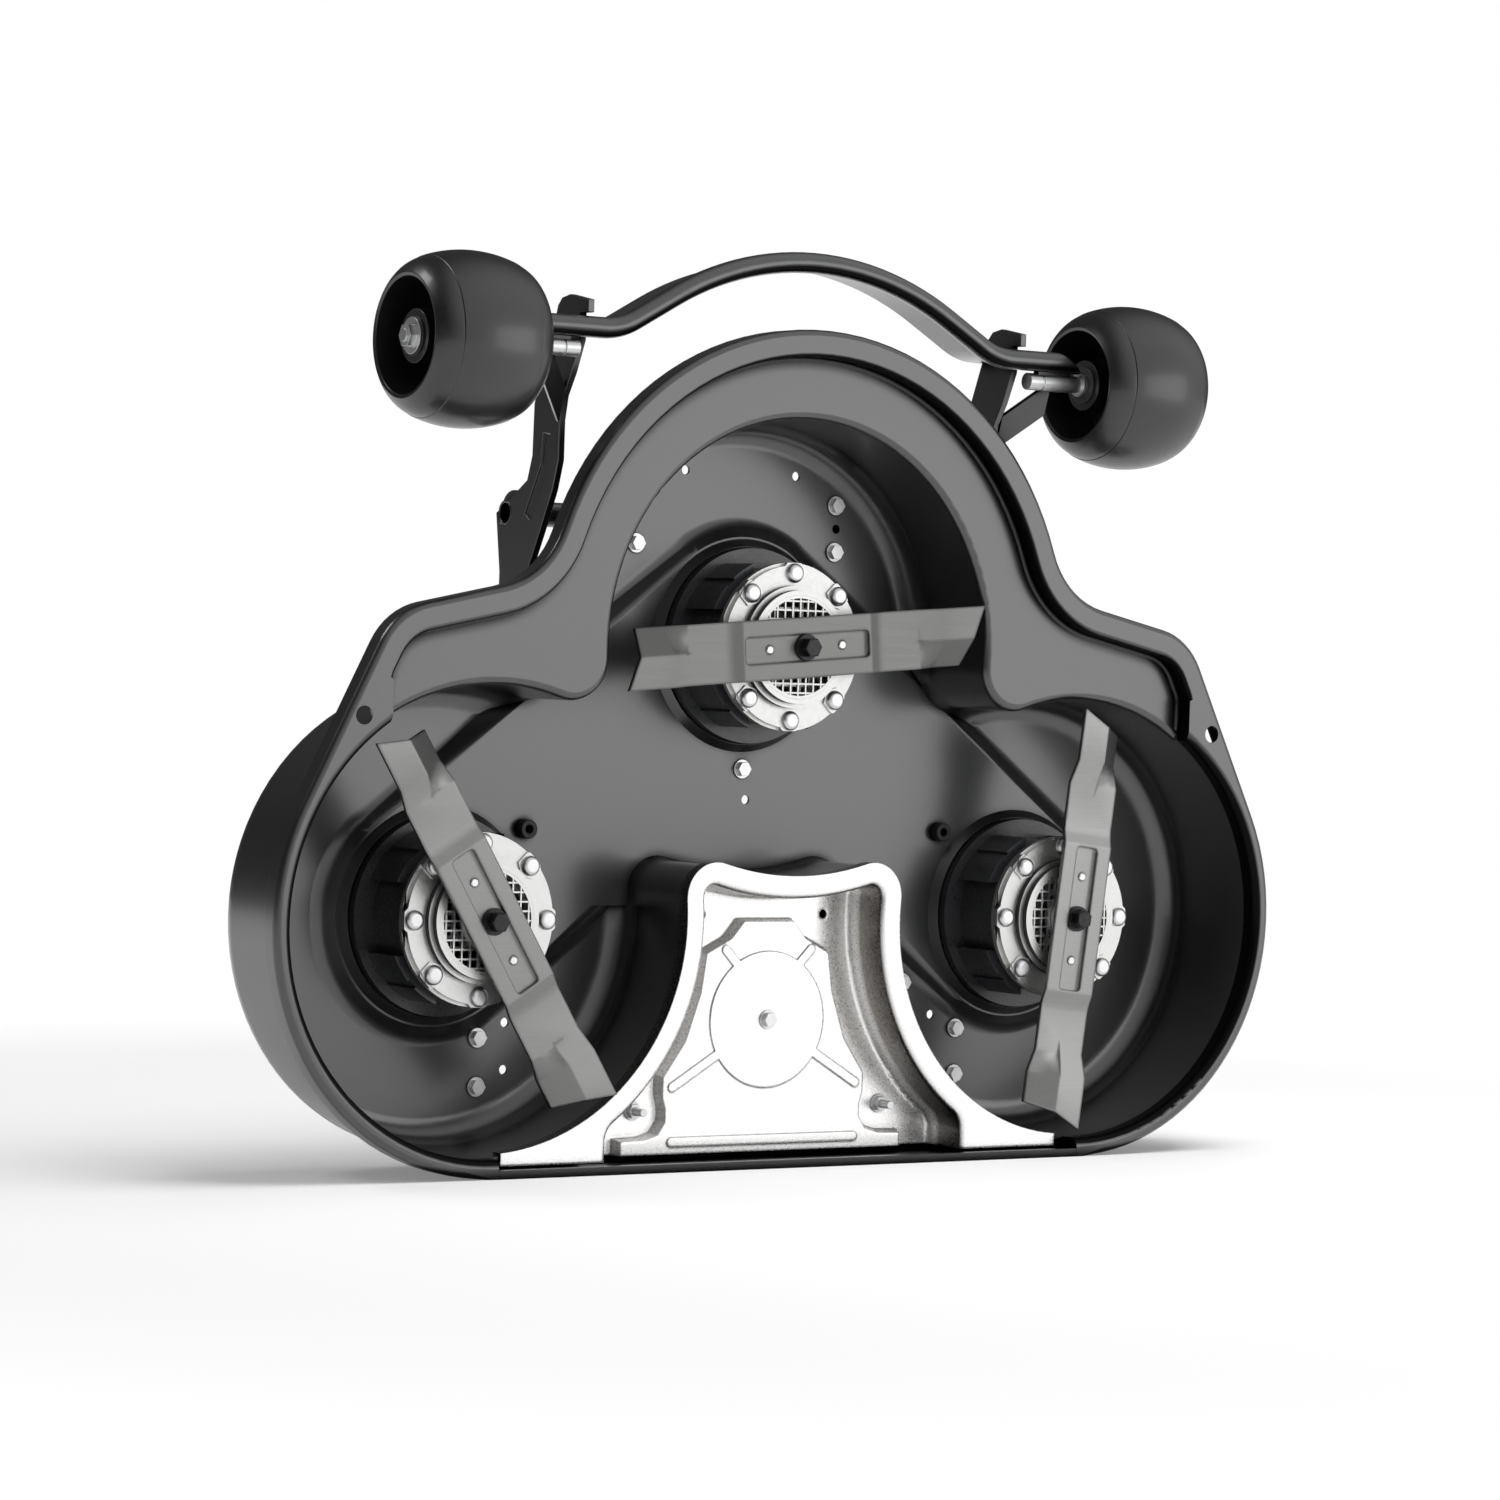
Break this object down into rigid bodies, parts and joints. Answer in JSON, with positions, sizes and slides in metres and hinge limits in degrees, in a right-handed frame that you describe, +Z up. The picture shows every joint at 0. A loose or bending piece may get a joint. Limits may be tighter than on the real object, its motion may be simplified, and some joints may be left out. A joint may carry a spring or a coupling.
{
  "type": "lawn mower deck",
  "caption": "Lawn mower deck on its rear edge: pressed shell with blade chambers, electric blade drives, mulch plug, and a front bumper tube with anti-scalp wheels.",
  "frame": {"origin": "on the floor under the middle of the object's box, which stands on its rear edge", "axes": "+X across the deck, +Y from the underside with the blades to the top side, +Z up from the rear edge to the front wheels"},
  "size_m": [1.149, 0.2354, 0.875],
  "materials": {
    "black_powder_coat": "satin powder coat",
    "bright_plug_steel": "bright pressed sheet",
    "zinc_plate": "bright zinc plate",
    "black_rubber": "matte",
    "black_anodised_casting": "black, satin",
    "bright_cast_aluminium": "bright casting",
    "bearing_steel": "ground",
    "lamination_steel": "varnished",
    "blade_steel": "grey, satin",
    "blackened_steel": "blackened",
    "black_wheel_plastic": "satin",
    "grey_bush_plastic": "satin"
  },
  "bodies": {
    "deck": {"deck_shell": "black_powder_coat", "mulch_plug": "bright_plug_steel", "plug_bolt": "zinc_plate", "plug_studs": "zinc_plate", "deck_bolts": "zinc_plate", "plateau_bolt": "zinc_plate", "rubber_stops": "black_rubber", "bumper_tube": "black_powder_coat", "bumper_sheet": "black_powder_coat", "cross_tube": "black_powder_coat", "front_motor_housing": "black_anodised_casting", "front_motor_flange": "bright_cast_aluminium", "front_flange_bolts": "bright_cast_aluminium", "front_motor_grille": "bright_cast_aluminium", "front_bearing": "bearing_steel", "front_stator": "lamination_steel", "left_motor_housing": "black_anodised_casting", "left_motor_flange": "bright_cast_aluminium", "left_flange_bolts": "bright_cast_aluminium", "left_motor_grille": "bright_cast_aluminium", "left_bearing": "bearing_steel", "left_stator": "lamination_steel", "right_motor_housing": "black_anodised_casting", "right_motor_flange": "bright_cast_aluminium", "right_flange_bolts": "bright_cast_aluminium", "right_motor_grille": "bright_cast_aluminium", "right_bearing": "bearing_steel", "right_stator": "lamination_steel", "left_arm": "black_powder_coat", "left_bracket": "black_powder_coat", "left_axle_brace": "black_powder_coat", "left_axle": "zinc_plate", "left_axle_nut": "zinc_plate", "right_arm": "black_powder_coat", "right_bracket": "black_powder_coat", "right_axle_brace": "black_powder_coat", "right_axle": "zinc_plate", "right_axle_nut": "zinc_plate"},
    "front_spindle": {"front_rotor": "lamination_steel", "front_motor_shaft": "bearing_steel", "front_blade_hub": "black_anodised_casting", "front_blade": "blade_steel", "front_blade_bolt": "blackened_steel"},
    "left_spindle": {"left_rotor": "lamination_steel", "left_motor_shaft": "bearing_steel", "left_blade_hub": "black_anodised_casting", "left_blade": "blade_steel", "left_blade_bolt": "blackened_steel"},
    "right_spindle": {"right_rotor": "lamination_steel", "right_motor_shaft": "bearing_steel", "right_blade_hub": "black_anodised_casting", "right_blade": "blade_steel", "right_blade_bolt": "blackened_steel"},
    "left_roller": {"left_wheel": "black_wheel_plastic", "left_wheel_bushes": "grey_bush_plastic"},
    "right_roller": {"right_wheel": "black_wheel_plastic", "right_wheel_bushes": "grey_bush_plastic"}
  },
  "joints": [
    {"name": "front_blade_spin", "type": "hinge", "parent": "deck", "child": "front_spindle", "pos_m": [0, -0.05325, 0.49752], "axis": [0, 1, 0], "continuous": true},
    {"name": "left_blade_spin", "type": "hinge", "parent": "deck", "child": "left_spindle", "pos_m": [-0.33849, -0.05325, 0.236], "axis": [0, 1, 0], "continuous": true},
    {"name": "right_blade_spin", "type": "hinge", "parent": "deck", "child": "right_spindle", "pos_m": [0.33849, -0.05325, 0.236], "axis": [0, 1, 0], "continuous": true},
    {"name": "left_wheel_spin", "type": "hinge", "parent": "deck", "child": "left_roller", "pos_m": [-0.38399, -0.03625, 0.76802], "axis": [1, 0, 0], "continuous": true},
    {"name": "right_wheel_spin", "type": "hinge", "parent": "deck", "child": "right_roller", "pos_m": [0.38399, -0.03625, 0.76802], "axis": [1, 0, 0], "continuous": true}
  ]
}
